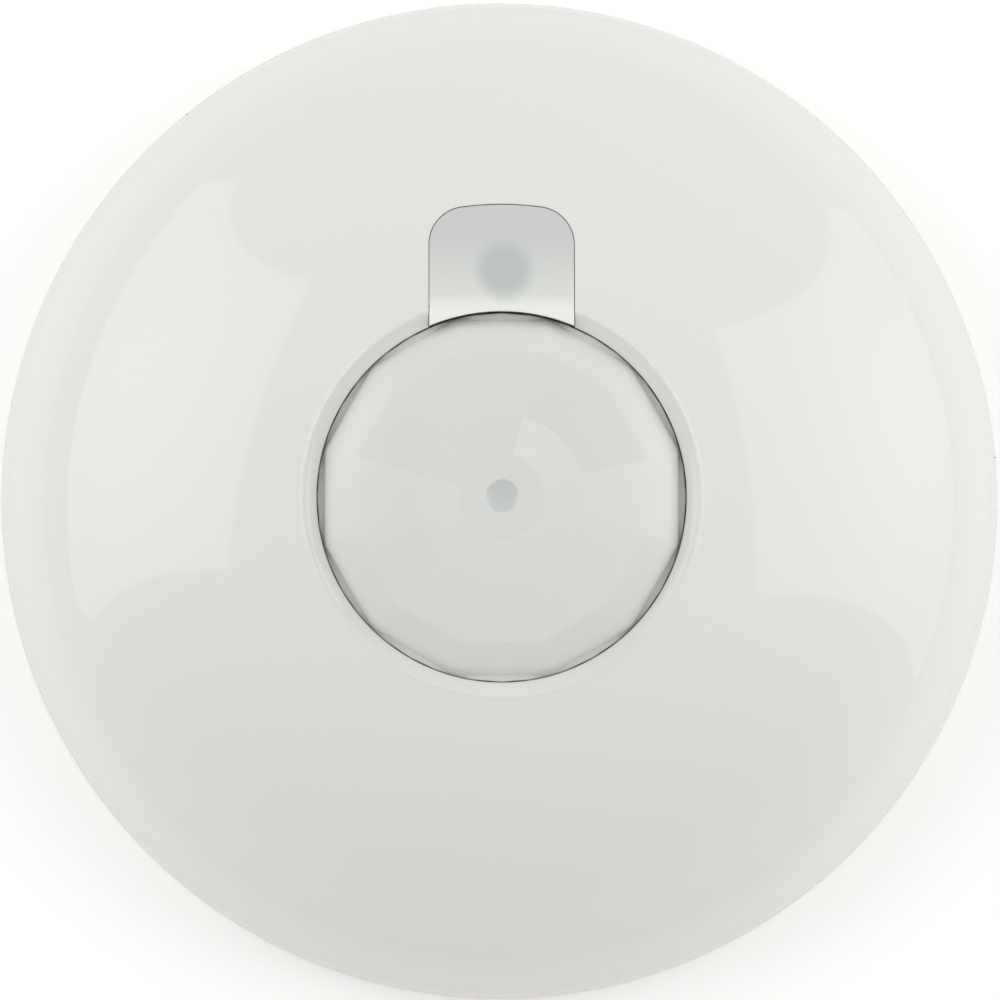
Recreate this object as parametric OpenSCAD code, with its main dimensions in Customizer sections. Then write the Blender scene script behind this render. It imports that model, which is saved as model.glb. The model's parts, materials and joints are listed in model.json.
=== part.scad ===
// Round motion sensor for a ceiling. The mounting face lies on z = 0, +Z points out
// through the lens, and +Y points from the lens to the indicator window.

/* [Housing] */
// Outer radius of the cover and of the base flange
body_r = 57.5; // [57.2:0.1:58]
// Height of the domed part of the cover
dome_h = 26.4; // [26.2:0.1:27]
// Height at which the dome starts
dome_z = 3.2; // [3.1:0.1:3.4]
// Wall thickness of the cover
wall = 2.0; // [1.9:0.1:2.1]
// Thickness of the base plate
plate_t = 2.5; // [2.4:0.1:2.6]
// Outer radius of the wall that stands on the base plate
rim_r = 54.0; // [53.8:0.1:54]
// Width of the slots for the ceiling screws
screw_slot_w = 4.5; // [4:0.1:4.8]
// Length of the slots for the ceiling screws, end to end
screw_slot_l = 7.5; // [6.5:0.5:8]
// Distance between the two ceiling screws
screw_spacing = 83; // [82:0.5:84]
// Radius of the cable hole in the grommet
cable_r = 2.8; // [2.4:0.1:3]

/* [Lens] */
// Radius of the round lens opening in the cover
opening_r = 21.2; // [21.2:0.05:21.4]
// Radius of the crest around the lens opening
crest_r = 23.0; // [22.8:0.1:23.4]
// Number of flat sides on the lens
lens_sides = 12; // [12]
// Half width across the flats at the foot of the lens
lens_foot_a = 20.35; // [20.2:0.05:20.4]
// Half width across the flats where the steep sides end
lens_rim_a = 20.2; // [20:0.05:20.3]
// Half width across the flats of the outer row of facets
lens_outer_a = 16.6; // [16.2:0.1:17]
// Half width across the flats of the middle row of facets
lens_inner_a = 9.3; // [9:0.1:9.6]
// Thickness of the lens
lens_t = 0.8; // [0.7:0.1:0.9]
// Height of the lens above the mounting face
lens_top = 33.8; // [33.6:0.1:34.2]

/* [Indicator window] */
// Half width of the window
window_w = 8.3; // [8:0.1:8.5]
// Distance from the lens axis to the outer end of the window
window_end = 33.6; // [33:0.1:34]
// Corner radius of the window
window_corner = 4.3; // [4:0.1:4.6]
// Gap between the window and the cover
window_gap = 0.2; // [0.15:0.05:0.25]

/* [Board] */
// Radius of the circuit board
board_r = 48; // [47:0.5:48]
// Half width of the circuit board
board_w = 33; // [32.5:0.5:33.5]
// Distance from the lens axis to the edge of the board beside the cable hole
board_end = 42; // [41.5:0.5:42]
// Thickness of the circuit board
board_t = 1.6; // [1.5:0.1:1.6]
// Height of the underside of the circuit board
board_z = 5.5; // [5.4:0.1:5.6]

/* [Terminals] */
// Number of wire terminals
terminals = 6; // [6]
// Distance between terminals
terminal_pitch = 5.08; // [5:0.04:5.08]

/* [Hidden] */
$fn = 96;
eps = 0.01;
top_z = board_z + board_t;
pin_z = board_z - 1.3;
dome_steps = 22;

// Housing details
crest_z = dome_z + dome_h * sqrt(1 - pow(crest_r / body_r, 2));
opening_z = crest_z - 1.5;
collar_t = 1.2;
collar_z = 21.6;
edge_bevel = 0.3;
rim_t = 1.6;
rim_h = 5.5;
lug_angles = [64, 184, 304];
lug_w = 7;
lug_play = 0.3;
lug_in = 2.4;
pry_angles = [7, 127, 244];
pry_w = 4;
pry_depth = 0.2;
pry_h = 0.9;
post_r = 2;

// Back of the base plate
pocket_depth = 0.8;
pocket_in = 14;
pocket_out = 50;
rib_w = 1.6;
ribs = 12;
land_r = 8;
grommet_pos = [0, -47];
grommet_r = 4;
grommet_flange_r = 4.9;
grommet_flange_t = 0.8;
grommet_land_r = 7;

// Board screws
board_screws = [[27, 33], [-27, 33], [27, -33], [-27, -33]];
boss_r = 3.2;
board_screw_r = 1.4;
board_screw_play = 0.05;
board_screw_head_r = 2.8;
board_screw_head_h = 1.9;

// Lens heights
lens_rim_z = 26.2;
lens_outer_z = 30;
lens_inner_z = 33.2;
lens_flange_t = 1.3;
lens_foot_z = collar_z - lens_flange_t;
ring_r = 23.4;
ring_z = 18.9;
ring_top = 23.4;
ring_in = 19.6;

// Sensing element
holder_r = 6;
holder_h = 4;
can_r = 4.6;
can_h = 4.2;
can_t = 0.3;
can_z = top_z + holder_h;
can_brim_r = 5.05;
can_brim_h = 0.5;
header_h = 0.8;
filter_t = 0.5;
sensor_pin_r = 0.23;
sensor_pins = [[2.54, 0], [-2.54, 0], [0, -2.54]];

// Indicator
led_pos = [0, 26.5];
led_r = 2.5;
led_flange_r = 2.9;
led_z = 15.4;
led_top = 23.6;
led_pin = 0.5;
led_pins = [[1.27, 26.5], [-1.27, 26.5]];

// Terminal block
block_y = -36.8;
block_depth = 8.4;
block_h = 9.1;
block_w = terminals * terminal_pitch + 0.6;
cell_w = 3.6;
cell_back = 3.1;
cell_front = 2.5;
cell_top = top_z + 6.1;
cage_w = 3.2;
cage_d = 4;
cage_t = 0.5;
cage_z = top_z + 0.3;
cage_h = 4.2;
bar_z = top_z + 3.1;
bar_w = 2;
bar_t = 0.5;
terminal_screw_r = 1;
terminal_screw_play = 0.06;
terminal_head_r = 1.9;
terminal_head_h = 2;
wire_w = 2.6;

// Tamper switch
tamper_pos = [26, -16];
tamper_size = [5.8, 12.8, 6.5];
tamper_top = top_z + tamper_size[2];
pivot_y = tamper_pos[1] + 5.4;
pivot_z = tamper_top + 0.9;
trunnion_r = 0.4;
trunnion_play = 0.05;
lever_t = 0.4;
lever_w = 4;
lever_l = 13.6;
button_r = 0.9;
button_y = tamper_pos[1] - 1;
tamper_pins = [[26, -20.6], [26, -16], [26, -11.4]];

// Relay
relay_pos = [11, -20];
relay_size = [14, 8, 9.6];
relay_pins = [for (x = [-5, 0, 2.6, 5], y = [-2.54, 2.54]) relay_pos + [x, y]];

// Jumpers
jumpers = [[-25, 21], [-18.5, 21], [-12, 21]];
header_pitch = 2.54;
jumper_base_h = 1.5;
post_w = 0.64;
cap_h = 4.5;
cap_play = 0.06;

// Trimmer
trimmer_pos = [17, 21];
trimmer_w = 6.8;
trimmer_h = 4.2;
rotor_r = 2.1;

// Electrolytic capacitors: x, y, radius, height
cans = [[20, 5, 4, 11.5], [28, 11, 3.15, 11], [28.2, 0.5, 2.5, 11]];

// Chips: x, y, body length, pins on each side
chip_w = 3.9;
chip_h = 1.5;
chip_lift = 0.15;
chip_pitch = 1.27;
controller = [-15, -13, 9.9, 8];
amplifier = [-16, 6, 8.7, 7];

varistor_pos = [-24, -25];
regulator_pos = [-15, -24];

// Chip resistors and capacitors: x, y and turn
resistors = [
    [-27, -4, 0], [-27, 0, 0], [-27, 4, 0], [-27, 8, 0], [-7, -12, 90], [-4.5, -12, 90], [-7, 12, 90],
    [-4.5, 12, 90], [8, 10, 0], [8, 13, 0], [8, 16, 0], [14, -9, 90], [17, -9, 90], [-20, 12.5, 0],
    [-8, 31, 0], [8, 31, 0]
];
chip_capacitors = [
    [-7, 3, 90], [-7, 7.5, 90], [-24, 13, 0], [-7, -17, 90], [9, 4, 90], [11.5, -9, 90], [8, 19, 0],
    [-23, -14, 90], [-15, -19, 0]
];
diodes = [[0, -27.5], [-6.5, -27.5], [20, -29], [20, -26]];

// Height of the dome at radius r, on a surface that lies inset below the outer one
function dome_at(r, inset) = dome_z + (dome_h - inset) * sqrt(1 - pow(r / (body_r - inset), 2));

// Points along that surface from radius a to radius b, evenly spread in angle
function dome_line(inset, a, b) =
    let (big = body_r - inset, from = acos(a / big), to = acos(b / big))
    [for (i = [0:dome_steps]) let (t = from + (to - from) * i / dome_steps)
        [big * cos(t), dome_z + (dome_h - inset) * sin(t)]];

// Points on an arc
function arc(c, r, from, to, n) =
    [for (i = [0:n]) let (t = from + (to - from) * i / n) c + r * [cos(t), sin(t)]];

function terminal_x(i) = (i - (terminals - 1) / 2) * terminal_pitch;

module at(p, z = 0) { translate([p[0], p[1], z]) children(); }

module around(angles) { for (a = angles) rotate([0, 0, a]) children(); }

// Box centred on x and y, from height z up
module block(size, z = 0) { translate([-size[0] / 2, -size[1] / 2, z]) cube(size); }

// Outline of the indicator window, grown outwards by extra
module window_outline(extra, from) {
    w = window_w + extra;
    end = window_end + extra;
    c = window_corner + extra;
    cx = w - c;
    cy = sqrt(pow(end - c, 2) - cx * cx);
    lean = atan2(cx, cy);
    polygon(concat(
        [[w, from]],
        arc([cx, cy], c, 0, 90 - lean, 8),
        arc([0, 0], end, 90 - lean, 90 + lean, 6),
        arc([-cx, cy], c, 90 + lean, 180, 8),
        [[-w, from]]
    ));
}

// Plate and standing wall that screw to the ceiling
module mounting_base() {
    color("whitesmoke") difference() {
        union() {
            rotate_extrude() polygon([
                [0, 0], [body_r - edge_bevel, 0], [body_r, edge_bevel], [body_r, plate_t - edge_bevel],
                [body_r - edge_bevel, plate_t], [0, plate_t]
            ]);
            translate([0, 0, plate_t - eps]) difference() {
                cylinder(r = rim_r, h = rim_h + eps);
                translate([0, 0, -1]) cylinder(r = rim_r - rim_t, h = rim_h + 2);
                around(lug_angles) translate([rim_r - 2 * rim_t, -lug_w / 2 - lug_play, -1])
                    cube([4 * rim_t, lug_w + 2 * lug_play, rim_h + 2]);
            }
            for (p = board_screws) at(p, plate_t - eps) cylinder(r = boss_r, h = board_z - plate_t + eps);
        }
        back_pockets();
        for (s = [-1, 1]) translate([s * screw_spacing / 2, 0, -1]) screw_slot();
        for (p = board_screws) at(p, 1.2) cylinder(r = board_screw_r + board_screw_play, h = board_z);
        at(grommet_pos, -1) cylinder(r = grommet_r, h = plate_t + 2);
        at(grommet_pos, -1) cylinder(r = grommet_flange_r + 0.1, h = 1 + grommet_flange_t + 0.1);
        around(pry_angles) translate([body_r - pry_depth, -pry_w / 2, -1]) cube([2, pry_w, plate_t + 2]);
    }
}

module screw_slot() {
    run = screw_slot_l - screw_slot_w;
    for (s = [-1, 1]) translate([s * run / 2, 0, 0]) cylinder(d = screw_slot_w, h = plate_t + 2);
    translate([-run / 2, -screw_slot_w / 2, 0]) cube([run, screw_slot_w, plate_t + 2]);
}

module back_pockets() {
    translate([0, 0, -1]) linear_extrude(pocket_depth + 1) difference() {
        circle(r = pocket_out);
        circle(r = pocket_in);
        for (i = [0:ribs - 1]) rotate([0, 0, i * 360 / ribs])
            translate([0, -rib_w / 2]) square([body_r, rib_w]);
        for (s = [-1, 1]) translate([s * screw_spacing / 2, 0]) circle(r = land_r);
        for (p = board_screws) translate(p) circle(r = boss_r);
        translate(grommet_pos) circle(r = grommet_land_r);
    }
}

// Rubber ring that closes the cable hole
module cable_grommet() {
    color("dimgray") at(grommet_pos) rotate_extrude() polygon([
        [cable_r, 0.1], [grommet_flange_r, 0.1], [grommet_flange_r, grommet_flange_t],
        [grommet_r, grommet_flange_t], [grommet_r, plate_t], [grommet_flange_r, plate_t],
        [grommet_flange_r - 0.3, plate_t + grommet_flange_t], [cable_r, plate_t + grommet_flange_t]
    ]);
}

module pin_holes(points, r) { for (p = points) at(p, -1) cylinder(r = r, h = board_t + 2, $fn = 32); }

module circuit_board() {
    color("seagreen") translate([0, 0, board_z]) difference() {
        linear_extrude(board_t) intersection() {
            circle(r = board_r);
            translate([-board_w, -board_end]) square([2 * board_w, board_end + board_r]);
        }
        pin_holes(board_screws, board_screw_r + 0.2);
        pin_holes(sensor_pins, 0.45);
        pin_holes(led_pins, 0.45);
        pin_holes(tamper_pins, 0.6);
        pin_holes(relay_pins, 0.45);
        pin_holes(jumper_post_points(), 0.55);
        pin_holes([for (i = [0:terminals - 1]) [terminal_x(i), block_y + cell_back - 0.35]], 0.75);
    }
}

module board_screws() {
    slot_w = 0.6;
    slot_l = 3.4;
    color("silver") for (p = board_screws) at(p) difference() {
        union() {
            translate([0, 0, 1.6]) cylinder(r = board_screw_r, h = top_z - 1.6 + eps);
            translate([0, 0, top_z]) rotate_extrude() polygon(concat(
                [[0, 0], [board_screw_head_r, 0], [board_screw_head_r, 0.8]],
                arc([board_screw_head_r - 1.1, 0.8], 1.1, 0, 90, 6),
                [[0, board_screw_head_h]]
            ));
        }
        for (a = [0, 90]) rotate([0, 0, a]) block([slot_l, slot_w, 2], top_z + board_screw_head_h - 1);
    }
}

// Plastic spacer that holds the sensing element at its height
module sensor_holder() {
    color("gainsboro") translate([0, 0, top_z]) difference() {
        union() {
            cylinder(r = holder_r, h = holder_h);
            for (a = [45, 135]) rotate([0, 0, a]) block([2 * holder_r + 3, 2.4, 1.2]);
        }
        translate([0, 0, -1]) cylinder(r = 3.6, h = holder_h + 2);
        block([2, 3 * holder_r, 1.2], holder_h - 1.2 + eps);
    }
}

module sensor_header() {
    color("goldenrod") translate([0, 0, can_z]) cylinder(r = can_r - can_t, h = header_h);
}

module sensor_can() {
    inner = can_r - can_t;
    color("silver") difference() {
        translate([0, 0, can_z]) rotate_extrude() polygon([
            [inner, 0], [can_brim_r, 0], [can_brim_r, can_brim_h], [can_r, can_brim_h], [can_r, can_h - 0.3],
            [can_r - 0.3, can_h], [0, can_h], [0, can_h - can_t], [inner, can_h - can_t]
        ]);
        block([5, 3.8, 2], can_z + can_h - 1);
    }
}

module sensor_filter() { color("dimgray") block([6, 4.8, filter_t], can_z + can_h - can_t - filter_t); }

module sensor_leads() {
    color("goldenrod") for (p = sensor_pins) at(p, pin_z)
        cylinder(r = sensor_pin_r, h = can_z - pin_z, $fn = 24);
}

module indicator_led() {
    dome_base = led_top - led_r;
    color("tomato") at(led_pos) rotate_extrude() polygon(concat(
        [[0, led_z], [led_flange_r, led_z], [led_flange_r, led_z + 1], [led_r, led_z + 1]],
        arc([0, dome_base], led_r, 0, 90, 10)
    ));
}

module led_spacer() {
    color("white") difference() {
        at(led_pos, top_z) cylinder(r = led_flange_r, h = led_z - top_z);
        for (p = led_pins) at(p, top_z - 1) cylinder(r = 0.42, h = led_z, $fn = 24);
    }
}

module led_leads() {
    color("silver") for (p = led_pins) at(p) block([led_pin, led_pin, led_z - pin_z], pin_z);
}

// Housing of the wire terminals, with a screw shaft, a cell and a wire mouth for each wire
module terminal_block() {
    color("limegreen") difference() {
        at([0, block_y]) union() {
            block([block_w, block_depth, block_h - 1.2], top_z);
            block([block_w, block_depth - 2.4, block_h], top_z);
        }
        for (i = [0:terminals - 1]) at([terminal_x(i), block_y]) {
            translate([0, 0, cell_top - eps]) cylinder(r = terminal_head_r + 0.1, h = block_h, $fn = 48);
            translate([-cell_w / 2, -cell_front, cage_z - 0.1])
                cube([cell_w, cell_front + cell_back, cell_top - cage_z + 0.1]);
            translate([-wire_w / 2, -block_depth, cage_z + cage_t])
                cube([wire_w, block_depth, bar_z - cage_z - cage_t]);
            translate([-0.5, cell_back - 0.6, top_z - 1]) cube([1, 0.5, 3]);
        }
    }
}

// Contact bars inside the wire cages, each with a leg through the board
module terminal_bars() {
    color("goldenrod") for (i = [0:terminals - 1]) at([terminal_x(i), block_y]) {
        translate([-bar_w / 2, -1.8, bar_z]) cube([bar_w, cell_back + 1.7, bar_t]);
        translate([-0.5, cell_back - 0.6, pin_z]) cube([1, 0.5, bar_z - pin_z + eps]);
    }
}

module terminal_screw(i) {
    tip_z = bar_z + bar_t + 0.05;
    head_z = cell_top + 0.1;
    color("silver") at([terminal_x(i), block_y]) difference() {
        union() {
            translate([0, 0, tip_z]) cylinder(r = terminal_screw_r, h = head_z - tip_z + eps, $fn = 48);
            translate([0, 0, head_z]) cylinder(r = terminal_head_r, h = terminal_head_h, $fn = 48);
        }
        block([2 * terminal_head_r + 1, 0.6, 2], head_z + terminal_head_h - 0.9);
    }
}

// Cage that the screw lifts to trap the wire under the contact bar
module wire_clamp(i) {
    color("khaki") at([terminal_x(i), block_y]) difference() {
        block([cage_w, cage_d, cage_h], cage_z);
        block([cage_w - 2 * cage_t, cage_d + 2, cage_h - 2 * cage_t - 0.1], cage_z + cage_t);
        translate([0, 0, cage_z + cage_h - 1])
            cylinder(r = terminal_screw_r + terminal_screw_play, h = 2, $fn = 48);
    }
}

// Switch that senses that the cover is on
module tamper_switch() {
    ear_t = 0.8;
    ear_d = 2.2;
    color("darkslategray") difference() {
        union() {
            at(tamper_pos) block(tamper_size, top_z);
            for (s = [-1, 1]) translate([tamper_pos[0] + s * (tamper_size[0] - ear_t) / 2, pivot_y])
                block([ear_t, ear_d, 2], tamper_top - eps);
        }
        translate([tamper_pos[0] - 5, pivot_y, pivot_z]) rotate([0, 90, 0])
            cylinder(r = trunnion_r + trunnion_play, h = 10, $fn = 32);
        at([tamper_pos[0], button_y], tamper_top - 2) cylinder(r = button_r + 0.08, h = 3, $fn = 48);
    }
}

module tamper_contacts() {
    color("silver") for (p = tamper_pins) at(p) block([0.4, 0.8, top_z - pin_z], pin_z);
}

// Spring strip with trunnions that the cover's post holds down
module tamper_lever() {
    strip_z = pivot_z - lever_t / 2;
    color("silver") translate([tamper_pos[0], pivot_y, 0]) {
        translate([-2.7, 0, pivot_z]) rotate([0, 90, 0]) cylinder(r = trunnion_r, h = 5.4, $fn = 32);
        translate([-1.9, 0, pivot_z]) rotate([0, 90, 0]) cylinder(r = 0.7, h = 3.8, $fn = 32);
        difference() {
            translate([-lever_w / 2, -lever_l, strip_z]) cube([lever_w, lever_l, lever_t]);
            for (s = [-1, 1]) translate([s * 2.4, 0, strip_z - 1]) block([1, 2.8, 3]);
        }
        translate([-lever_w / 2, -lever_l, pivot_z]) rotate([0, 90, 0])
            cylinder(r = 0.5, h = lever_w, $fn = 32);
    }
}

module tamper_button() {
    top = pivot_z - lever_t / 2 - 0.02;
    color("crimson") at([tamper_pos[0], button_y], tamper_top - 1.2)
        cylinder(r = button_r, h = top - tamper_top + 1.2, $fn = 48);
}

module relay() {
    color("darkslateblue") at(relay_pos, top_z + 0.3) difference() {
        block(relay_size);
        for (a = [0, 180]) rotate([0, 0, a]) translate([relay_size[0] / 2, 0, relay_size[2]])
            rotate([0, 45, 0]) cube([0.8, 20, 0.8], center = true);
        for (a = [0, 180]) rotate([0, 0, a]) translate([0, relay_size[1] / 2, relay_size[2]])
            rotate([45, 0, 0]) cube([20, 0.8, 0.8], center = true);
        translate([-5.4, -2.6, relay_size[2] - 0.2]) cylinder(r = 0.6, h = 1, $fn = 32);
    }
}

module relay_contacts() {
    color("silver") for (p = relay_pins) at(p, pin_z) cylinder(r = 0.3, h = top_z + 0.3 - pin_z, $fn = 24);
}

module chip(c) {
    color("dimgray") at([c[0], c[1]], top_z + chip_lift) difference() {
        block([c[2], chip_w, chip_h]);
        translate([-c[2] / 2 + 1, -1.1, chip_h - 0.1]) cylinder(r = 0.45, h = 1, $fn = 32);
    }
}

// Gull-wing legs along both long sides of a chip
module chip_legs(c) {
    color("silver") at([c[0], c[1]], top_z) for (i = [0:c[3] - 1], s = [-1, 1])
        translate([(i - (c[3] - 1) / 2) * chip_pitch - 0.2, 0, 0]) mirror([0, s < 0 ? 1 : 0, 0])
            translate([0, chip_w / 2, 0]) rotate([90, 0, 90]) linear_extrude(0.4) polygon([
                [0, 0.75], [0, 0.95], [0.45, 0.95], [0.75, 0.2], [1.15, 0.2], [1.15, 0], [0.6, 0], [0.3, 0.75]
            ]);
}

module controller_chip() { chip(controller); }

module controller_legs() { chip_legs(controller); }

module amplifier_chip() { chip(amplifier); }

module amplifier_legs() { chip_legs(amplifier); }

module capacitor_cans() {
    color("silver") for (c = cans) at(c, top_z + 0.4) difference() {
        cylinder(r = c[2] - 0.25, h = c[3] - 0.4);
        for (a = [0, 90]) rotate([0, 0, a]) block([1.3 * c[2], 0.3, 1], c[3] - 0.6);
    }
}

module capacitor_sleeves() {
    color("midnightblue") for (c = cans) at(c, top_z) rotate_extrude() polygon([
        [0, 0], [c[2] - 0.3, 0], [c[2], 0.4], [c[2], c[3] - 0.3], [c[2] - 0.3, c[3] + 0.1],
        [c[2] - 0.9, c[3] + 0.1], [c[2] - 0.9, c[3]], [c[2] - 0.25, c[3]], [c[2] - 0.25, 0.4], [0, 0.4]
    ]);
}

module chip_parts(list, size, tone) {
    color(tone) for (p = list) at(p, top_z) rotate([0, 0, p[2]]) block(size);
}

module chip_resistors() { chip_parts(resistors, [2, 1.25, 0.5], "black"); }

module chip_capacitors() { chip_parts(chip_capacitors, [2, 1.3, 0.9], "peru"); }

module diodes() {
    color("indianred") for (p = diodes) at(p, top_z + 0.75) rotate([0, 90, 0]) {
        translate([0, 0, -1.75]) cylinder(r = 0.75, h = 3.5, $fn = 48);
    }
}

// Disc that takes up surges, standing on two legs
module varistor() {
    color("royalblue") translate([varistor_pos[0], varistor_pos[1], top_z]) {
        translate([0, 1.2, 5]) rotate([90, 0, 0]) rotate_extrude() polygon([
            [0, -0.4], [2.6, -0.4], [3.7, 0.3], [4, 1.2], [3.7, 2.1], [2.6, 2.8], [0, 2.8]
        ]);
        for (s = [-1, 1]) translate([s * 1.9, 0, 0]) cylinder(r = 0.35, h = 3, $fn = 24);
    }
}

module regulator() { color("dimgray") at(regulator_pos, top_z + 0.1) block([4.5, 2.5, 1.5]); }

module regulator_legs() {
    color("silver") at(regulator_pos, top_z) for (x = [-1.5, 0, 1.5])
        translate([x, -1.85, 0.1]) block([0.45, 1.2, 0.35]);
}

function jumper_post_points() = [for (p = jumpers, s = [-1, 1]) p + [0, s * header_pitch / 2]];

module jumper_headers() {
    color("black") for (p = jumpers) at(p, top_z) difference() {
        block([header_pitch, 2 * header_pitch, jumper_base_h]);
        for (s = [-1, 1]) translate([0, s * header_pitch / 2, -1]) block([post_w, post_w, 4]);
    }
}

module jumper_posts() {
    color("gold") for (p = jumper_post_points()) at(p)
        block([post_w, post_w, top_z + jumper_base_h + 3.9 - pin_z], pin_z);
}

// Cap that bridges two posts and pulls off upwards
module jumper_cap(i) {
    hole = post_w + 2 * cap_play;
    color("royalblue") at(jumpers[i], top_z + jumper_base_h + 0.1) difference() {
        block([header_pitch, 2 * header_pitch - 0.1, cap_h]);
        for (s = [-1, 1]) translate([0, s * header_pitch / 2, 0]) block([hole, hole, cap_h], -0.4);
        for (s = [-1, 1]) translate([s * header_pitch / 2, 0, cap_h - 0.5]) block([0.6, 2, 2]);
    }
}

module trimmer_body() {
    color("steelblue") at(trimmer_pos, top_z) difference() {
        block([trimmer_w, trimmer_w, trimmer_h]);
        translate([0, 0, 1.6]) cylinder(r = rotor_r + 0.08, h = trimmer_h);
    }
}

// Adjuster with a screwdriver cross and a pointer flat
module trimmer_rotor() {
    color("white") at(trimmer_pos, top_z + 1.65) difference() {
        cylinder(r = rotor_r, h = trimmer_h - 1.5);
        for (a = [0, 90]) rotate([0, 0, a]) block([3, 0.7, 2], trimmer_h - 2.5);
        translate([0, rotor_r, trimmer_h - 2.1]) block([0.8, 1.2, 2]);
    }
}

// Domed shell with the lens opening, its collar, three lugs and the tamper post
module front_cover() {
    post_z = pivot_z + 0.5 + 0.05;
    post_pos = [tamper_pos[0], pivot_y - lever_l];
    color("white") difference() {
        union() {
            rotate_extrude() polygon(concat(
                [[body_r - edge_bevel, plate_t], [body_r, plate_t + edge_bevel]],
                dome_line(0, body_r, crest_r),
                [
                    [crest_r - 0.55, crest_z - 0.15], [opening_r + 0.3, opening_z + 0.35],
                    [opening_r, opening_z - 0.2], [opening_r, collar_z], [opening_r + collar_t, collar_z],
                    [opening_r + collar_t, dome_at(opening_r + collar_t, wall)]
                ],
                dome_line(wall, opening_r + collar_t + 0.1, body_r - wall),
                [[body_r - wall, plate_t]]
            ));
            around(lug_angles) translate([rim_r - lug_in, -lug_w / 2, plate_t + 0.4])
                cube([body_r - 1.2 - rim_r + lug_in, lug_w, rim_h - 0.4]);
            at(post_pos, post_z) cylinder(r = post_r, h = dome_at(norm(post_pos) + post_r, 0.6) - post_z);
        }
        translate([0, 0, collar_z - 1]) linear_extrude(10) window_outline(window_gap, 15);
        around(pry_angles) translate([body_r - pry_depth, -pry_w / 2, 0]) cube([2, pry_w, plate_t + pry_h]);
    }
}

// Faceted lens with the round flange that clamps it
module lens_dome() {
    corner = 1 / cos(180 / lens_sides);
    outside = [
        [lens_foot_a, lens_foot_z + 0.2], [lens_foot_a, collar_z + 1], [lens_rim_a, lens_rim_z],
        [lens_outer_a, lens_outer_z], [lens_inner_a, lens_inner_z], [0, lens_top]
    ];
    inside = [
        [0, lens_top - lens_t], [lens_inner_a - 0.2, lens_inner_z - lens_t],
        [lens_outer_a - 0.4, lens_outer_z - lens_t], [lens_rim_a - lens_t, lens_rim_z - 0.4],
        [lens_foot_a - lens_t - 0.2, collar_z + 1], [lens_foot_a - lens_t - 0.2, lens_foot_z + 0.2]
    ];
    color("ghostwhite") union() {
        rotate([0, 0, 180 / lens_sides]) rotate_extrude($fn = lens_sides)
            polygon([for (p = concat(outside, inside)) [p[0] * corner, p[1]]]);
        translate([0, 0, lens_foot_z]) difference() {
            cylinder(r = opening_r + collar_t, h = lens_flange_t);
            translate([0, 0, -1]) cylinder(r = lens_foot_a - 0.5, h = lens_flange_t + 2);
        }
    }
}

// Ring that clips over the collar and clamps the lens flange
module lens_ring() {
    color("gainsboro") difference() {
        rotate_extrude() polygon([
            [ring_in, ring_z], [ring_r - 0.4, ring_z], [ring_r, ring_z + 0.4], [ring_r, ring_top],
            [opening_r + collar_t + 0.05, ring_top], [opening_r + collar_t + 0.05, lens_foot_z],
            [ring_in, lens_foot_z]
        ]);
        for (a = [0:60:300]) rotate([0, 0, a]) translate([opening_r + collar_t, 0, 0])
            block([3, 1.2, 10], lens_foot_z + 0.8);
    }
}

// Clear tab that lets the indicator shine through the cover
module led_window() {
    tab_t = 1.6;
    ledge_gap = 0.05;
    ledge_w = 1;
    color("lightsteelblue") union() {
        intersection() {
            rotate_extrude() polygon(concat(
                dome_line(0, window_end + 1, opening_r + 0.1),
                dome_line(tab_t, opening_r + 0.1, window_end + 1)
            ));
            translate([0, 0, collar_z]) linear_extrude(10) window_outline(0, 15);
        }
        intersection() {
            rotate_extrude() polygon(concat(
                dome_line(tab_t - 0.2, window_end, opening_r + collar_t + 0.2),
                dome_line(wall + 0.8, opening_r + collar_t + 0.2, window_end)
            ));
            translate([0, 0, collar_z]) linear_extrude(10) window_outline(-0.4, 15);
        }
        intersection() {
            rotate_extrude() polygon(concat(
                dome_line(wall + ledge_gap, window_end + ledge_w, ring_r + 0.2),
                dome_line(wall + 0.8, ring_r + 0.2, window_end + ledge_w)
            ));
            translate([0, 0, collar_z - 2]) linear_extrude(10) window_outline(ledge_w, 15);
        }
    }
}

mounting_base();
cable_grommet();
circuit_board();
board_screws();
sensor_holder();
sensor_header();
sensor_can();
sensor_filter();
sensor_leads();
indicator_led();
led_spacer();
led_leads();
terminal_block();
terminal_bars();
terminal_screw(0);  // terminal_screw_1
terminal_screw(1);  // terminal_screw_2
terminal_screw(2);  // terminal_screw_3
terminal_screw(3);  // terminal_screw_4
terminal_screw(4);  // terminal_screw_5
terminal_screw(5);  // terminal_screw_6
wire_clamp(0);  // wire_clamp_1
wire_clamp(1);  // wire_clamp_2
wire_clamp(2);  // wire_clamp_3
wire_clamp(3);  // wire_clamp_4
wire_clamp(4);  // wire_clamp_5
wire_clamp(5);  // wire_clamp_6
tamper_switch();
tamper_contacts();
tamper_lever();
tamper_button();
relay();
relay_contacts();
controller_chip();
controller_legs();
amplifier_chip();
amplifier_legs();
capacitor_cans();
capacitor_sleeves();
chip_resistors();
chip_capacitors();
diodes();
varistor();
regulator();
regulator_legs();
jumper_headers();
jumper_posts();
jumper_cap(0);  // jumper_cap_1
jumper_cap(1);  // jumper_cap_2
jumper_cap(2);  // jumper_cap_3
trimmer_body();
trimmer_rotor();
front_cover();
lens_dome();
lens_ring();
led_window();
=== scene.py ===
"""Round ceiling motion sensor: the looks of the cover, lens, window, base and electronics."""
import json
import math
import random

import bmesh
import bpy
from mathutils import Matrix, Vector


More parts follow.
